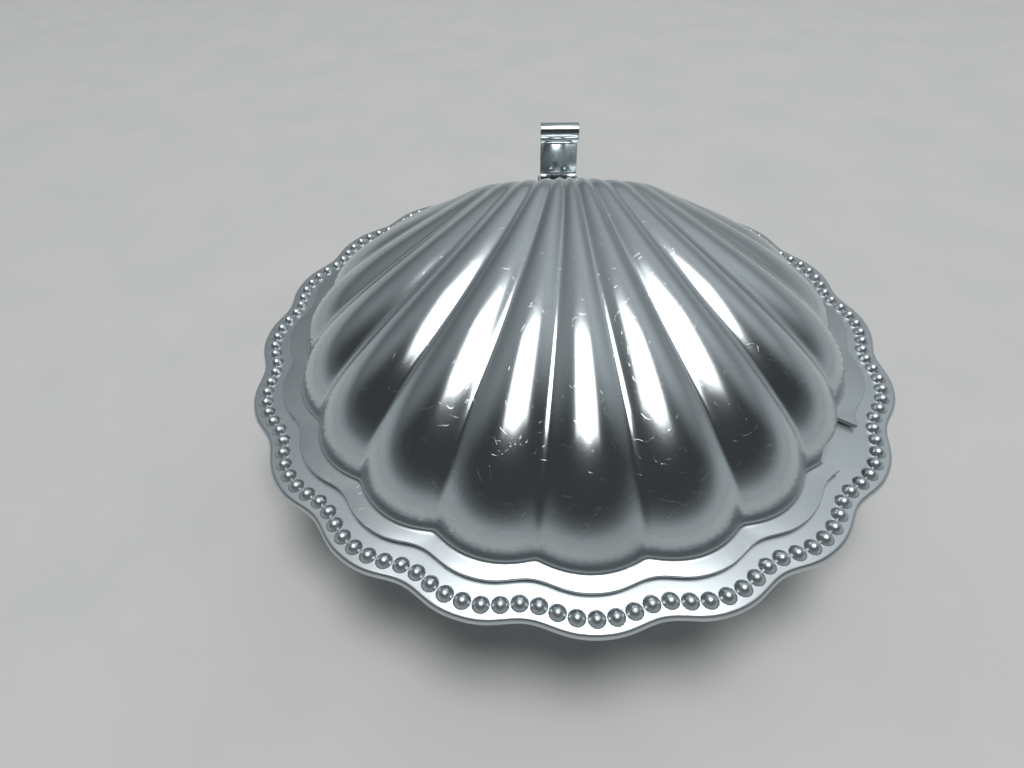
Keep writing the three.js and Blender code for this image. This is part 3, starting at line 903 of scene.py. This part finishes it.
def rivet(name, x, y):
    foot = FLANGE_TOP - LID_SHEET
    seat = LEVER_FOOT_LEVEL + LEVER_SHEET / 2 + PLATE_GAP
    profile = [(0, foot), (RIVET_SHANK_RADIUS, foot), (RIVET_SHANK_RADIUS, seat)]
    tilts = quarter_tilts(CORNER_STEPS)[:-1]
    profile += [(RIVET_HEAD_RADIUS * math.cos(t), seat + RIVET_HEAD_HEIGHT * math.sin(t)) for t in tilts]
    profile.append((0, seat + RIVET_HEAD_HEIGHT))
    return turned_piece(name, profile, Matrix.Translation((x, y + RIM_CENTRE_Y, 0)))


# A ball with a flat where it stands and another where it meets the tray's floor
def ball_foot(node):
    low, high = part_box(node)
    height = high.z - low.z
    ball = math.hypot(height / 2, FOOT_FLAT_RADIUS)
    start = math.asin(FOOT_FLAT_RADIUS / ball)
    tilts = [start + (math.pi - 2 * start) * i / BALL_STEPS for i in range(BALL_STEPS + 1)]
    arc = [(ball * math.sin(t), height / 2 - ball * math.cos(t)) for t in tilts]
    middle = Matrix.Translation(((low.x + high.x) / 2, (low.y + high.y) / 2, 0))
    return turned_piece(node + "_ball", [(0, 0)] + arc + [(0, height)], middle)


def liner():
    low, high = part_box("glass_liner")
    angle = ring_angles()
    inner_floor = low.z + GLASS_FLOOR
    shoulder = high.z - GLASS_WALL / 2
    rim_radius = MOUTH_RADIUS - LINER_CLEARANCE - GLASS_WALL / 2
    rings = well_floor(angle, inner_floor)
    rings += well_wall(angle, -LINER_CLEARANCE - GLASS_WALL, inner_floor, shoulder)
    for i in range(1, LINER_RIM_STEPS):
        tilt = math.pi * i / LINER_RIM_STEPS
        radius = rim_radius - GLASS_WALL / 2 * math.cos(tilt) - well_flute(angle)
        rings.append(polar(radius, angle, shoulder + GLASS_WALL / 2 * math.sin(tilt)))
    rings += well_wall(angle, -LINER_CLEARANCE, low.z, shoulder)[::-1]
    rings += well_floor(angle, low.z)[::-1]
    return smooth(outward(skin("liner_bowl", rings, (0, 0, inner_floor), (0, 0, low.z))))


class Shader(Tree):
    """The node tree of a material or of the room."""

    def spot(self, turn=(0, 0, 0)):
        place = self.node("ShaderNodeTexCoord", output="Object")
        angles = [math.radians(degrees) for degrees in turn]
        return self.node("ShaderNodeMapping", sockets={"Vector": place, "Rotation": angles})

    def noise(self, spot, size, detail=2.0, roughness=0.5):
        sockets = {"Vector": spot, "Scale": 1 / size, "Detail": detail, "Roughness": roughness}
        return self.node("ShaderNodeTexNoise", sockets=sockets)

    def mix(self, factor, first, second):
        sockets = {0: factor, 6: first, 7: second}
        return self.node("ShaderNodeMix", {"data_type": "RGBA"}, sockets, output=2)

    def bump(self, height, depth, base=None):
        sockets = {"Height": height, "Distance": depth, "Strength": 1.0}
        if base is not None:
            sockets["Normal"] = base
        return self.node("ShaderNodeBump", sockets=sockets)

    def surface(self, **sockets):
        named = {key.replace("_", " "): value for key, value in sockets.items()}
        shade = self.node("ShaderNodeBsdfPrincipled", sockets=named)
        self.node("ShaderNodeOutputMaterial", sockets={"Surface": shade})


def finish(name):
    material = bpy.data.materials.new(name)
    material.use_nodes = True
    return material, Shader(material.node_tree)


# Scratches: thin curved lines where a slow noise passes its middle, kept in patches so that each is short
def scratches(shader, turn, bend, width, patch, share):
    other_turn = (turn[2], turn[0], turn[1])
    slow = shader.noise(shader.spot(turn), bend, detail=1.0)
    line = 1 - (slow - 0.5).size().between(0.0, width / bend)
    patches = shader.noise(shader.spot(other_turn), patch, detail=1.0)
    return line * patches.between(share, share + 0.04)


# Small dents, each a round spot in a cell of its own; only a share of the cells has one
def pits(shader, cell, radius, share):
    sockets = {"Vector": shader.spot(), "Scale": 1 / cell}
    distance = shader.node("ShaderNodeTexVoronoi", sockets=sockets)
    chance = shader.node("ShaderNodeTexVoronoi", sockets=sockets, output="Color")
    red = shader.node("ShaderNodeSeparateColor", sockets={0: chance})
    return (1 - distance.between(0, radius / cell)) * (1 - red.between(share, share + 0.01))


# Wear of used steel: scratches three ways, pits and clouds of haze
def worn(shader, share):
    first, second, third = (scratches(shader, *sizes, share + rarer) for *sizes, rarer in SCRATCH_WAYS)
    dents = pits(shader, DENT_CELL, DENT_RADIUS, share=0.05)
    haze = shader.noise(shader.spot(), HAZE_SIZE, detail=4.0, roughness=0.6).between(0.4, 0.75)
    return first.most(second).most(third), dents, haze


def steel(name, roughness, wave_depth, scratch_share):
    material, shader = finish(name)
    lines, dents, haze = worn(shader, scratch_share)
    rough = roughness + haze * HAZE_DULLER + lines * MARK_DULLER + dents * MARK_DULLER
    surface = shader.bump(shader.noise(shader.spot(), WAVE_SIZE, detail=1.5), wave_depth)
    surface = shader.bump(1 - lines.most(dents), MARK_DEPTH, surface)
    shade = shader.mix(haze, COOL, COOL_DULL)
    shader.surface(Base_Color=shade, Metallic=1.0, Roughness=rough, Normal=surface)
    return material


# The lid is polished on its front wall and grows satin towards the umbo, at its foot and on the flange
def polished_steel():
    material, shader = finish("polished_steel")
    share = shader.node("ShaderNodeAttribute", {"attribute_name": "share"}, output="Fac")
    lines, dents, haze = worn(shader, 0.57)
    scuffs = pits(shader, SCUFF_CELL, SCUFF_RADIUS, share=0.4)
    scuffs = scuffs * shader.noise(shader.spot(), SCUFF_PATCH).between(0.66, 0.72)
    marks = dents.most(scuffs)
    foot = 1 - share.between(*LID_FOOT_SHARES)
    back = share.between(*LID_BACK_SHARES)
    shade = shader.mix(haze, LID_COOL, LID_DULL)
    wear = haze * HAZE_DULLER + lines * MARK_DULLER + marks * MARK_DULLER
    rough = LID_ROUGHNESS + foot * LID_FOOT_DULLER + back * LID_BACK_DULLER + wear
    surface = shader.bump(shader.noise(shader.spot(), LID_WAVE_SIZE, detail=1.5), LID_WAVE_DEPTH)
    surface = shader.bump(1 - lines, LID_SCRATCH_DEPTH, surface)
    surface = shader.bump(1 - marks, LID_DENT_DEPTH, surface)
    shader.surface(Base_Color=shade, Metallic=1.0, Roughness=rough, Normal=surface)
    return material


def pressed_glass():
    material, shader = finish("pressed_glass")
    ripple = shader.noise(shader.spot(), RIPPLE_SIZE)
    shader.surface(
        Base_Color=GLASS_TINT,
        Roughness=0.02 + ripple.between(0.3, 0.8) * 0.05,
        Normal=shader.bump(ripple, RIPPLE_DEPTH),
        Transmission_Weight=1.0,
        IOR=1.51,
    )
    return material


def floor_finish():
    material, shader = finish("studio_floor")
    mottle = shader.noise(shader.spot(), FLOOR_MOTTLE, detail=3.0)
    shade = shader.mix(mottle.between(0.3, 0.7), *FLOOR_TONES)
    shader.surface(Base_Color=shade, Roughness=0.75)
    return material


def coat(piece, material):
    piece.data.materials.clear()
    piece.data.materials.append(material)


def add(piece, material, body, slot, *nodes):
    coat(piece, material)
    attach(piece, body)
    if nodes:
        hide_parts(*nodes)


POLISHED = polished_steel()
SATIN = steel("satin_steel", SATIN_ROUGHNESS, wave_depth=0.02 * MM, scratch_share=0.64)
BRIGHT = steel("bright_steel", BRIGHT_ROUGHNESS, wave_depth=0.01 * MM, scratch_share=0.6)
STRIP = steel("rolled_strip", STRIP_ROUGHNESS, wave_depth=0.05 * MM, scratch_share=0.58)
GLASS = pressed_glass()

add(tray_body(), SATIN, "tray", "satin_steel", "tray")
add(bead_line(SATIN), SATIN, "tray", "satin_steel")
add(tray_leaf(), STRIP, "tray", "spring_steel", "tray_hinge_leaf")
add(pin(), STRIP, "tray", "spring_steel", "hinge_pin")
for foot in ("foot_back", "foot_front_left", "foot_front_right"):
    add(ball_foot(foot), BRIGHT, "tray", "polished_steel", foot)
add(lid_body(), POLISHED, "lid", "polished_steel", "lid_shell")
add(lid_leaf(), STRIP, "lid", "spring_steel", "lid_hinge_leaf")
add(lever(), STRIP, "lid", "spring_steel", "thumb_lever")
for name, (x, y) in zip(("rivet_left", "rivet_right"), rivet_places()):
    add(rivet(name + "_head", x, y), BRIGHT, "lid", "polished_steel", name)
add(liner(), GLASS, "liner", "pressed_glass", "glass_liner")


def studio_floor():
    mesh = bpy.data.meshes.new("studio_floor")
    corners = [(x, y, 0) for x, y in box_outline(-FLOOR_HALF, FLOOR_HALF, -FLOOR_HALF, FLOOR_HALF)]
    mesh.from_pydata(corners, [], [(0, 1, 2, 3)])
    floor = linked("studio_floor", mesh)
    coat(floor, floor_finish())


# A ramp starts with two stops of its own, so its ends are given first
def sky(shader, height, tones):
    stops = []
    for place, tone in tones:
        stops.append((place, tuple(tone * tint for tint in AIR_TINT) + (1,)))
    first, *between, last = stops
    return shader.node("ShaderNodeValToRGB", {"stops": [first, last] + between}, {0: height})


def studio_air():
    world = bpy.data.worlds.new("studio_air")
    bpy.context.scene.world = world
    world.use_nodes = True
    shader = Shader(world.node_tree)
    right, backwards, up = shader.split(shader.node("ShaderNodeTexCoord", output="Generated"))
    height = up.between(0.0, 1.0)
    left_sky = sky(shader, height, LEFT_TONES)
    back_sky = sky(shader, height, BACK_TONES)
    front_sky = sky(shader, height, FRONT_TONES)
    back = shader.mix(right.between(*LEFT_TO_RIGHT), left_sky, back_sky)
    air = shader.mix(backwards.between(*FRONT_TO_BACK), front_sky, back)
    glow = shader.node("ShaderNodeBackground", sockets={0: air, 1: 1.0})
    shader.node("ShaderNodeOutputWorld", sockets={0: glow})


# A broad light from high above, whose width softens the shadows
def overhead_light():
    data = bpy.data.lights.new("overhead_light", "SUN")
    data.energy = SUN_STRENGTH
    data.angle = SUN_WIDTH
    lamp = linked("overhead_light", data)
    lamp.rotation_euler = (0, SUN_LEAN, 0)


# A softbox that hangs level, so that its straight edges give the polished wall blunt highlights
def overhead_box():
    data = bpy.data.lights.new("overhead_box", "AREA")
    data.shape = "RECTANGLE"
    data.size, data.size_y = SOFTBOX_SIZE
    data.energy = SOFTBOX_POWER
    lamp = linked("overhead_box", data)
    lamp.location = SOFTBOX_PLACE


# The camera looks at the middle of the rim, and then swings until that middle lies at its pixel
def photo_camera():
    data = bpy.data.cameras.new("photo_camera")
    data.sensor_width = SENSOR_WIDTH
    data.lens = FOCAL_PIXELS / VIEW_WIDTH * SENSOR_WIDTH
    data.clip_start = NEAREST_SEEN
    camera = linked("photo_camera", data)
    bpy.context.scene.camera = camera
    place = CAMERA_DISTANCE * Vector((0, -math.cos(CAMERA_TILT), math.sin(CAMERA_TILT)))
    right = Vector((1, 0, 0))
    forward = -place.normalized()
    down = -right.cross(forward)
    off_x = RIM_PIXEL[0] - VIEW_MIDDLE[0]
    off_y = RIM_PIXEL[1] - VIEW_MIDDLE[1]
    sideways = Matrix.Rotation(math.atan2(off_x, FOCAL_PIXELS), 3, "Y")
    downwards = Matrix.Rotation(-math.atan2(off_y, math.hypot(FOCAL_PIXELS, off_x)), 3, "X")
    roll = Matrix.Rotation(CAMERA_ROLL, 3, "Z")
    looking = sideways @ downwards @ roll @ Matrix((right, down, forward))
    axes = Matrix((looking[0], -looking[1], -looking[2])).transposed()
    turn = Matrix.Rotation(-DISH_TURN, 4, "Z")
    centre = Matrix.Translation((0, RIM_CENTRE_Y, RIM_LEVEL))
    camera.matrix_world = centre @ turn @ Matrix.Translation(place) @ axes.to_4x4()


studio_floor()
studio_air()
overhead_light()
overhead_box()
photo_camera()
bpy.context.scene.view_settings.view_transform = "Standard"
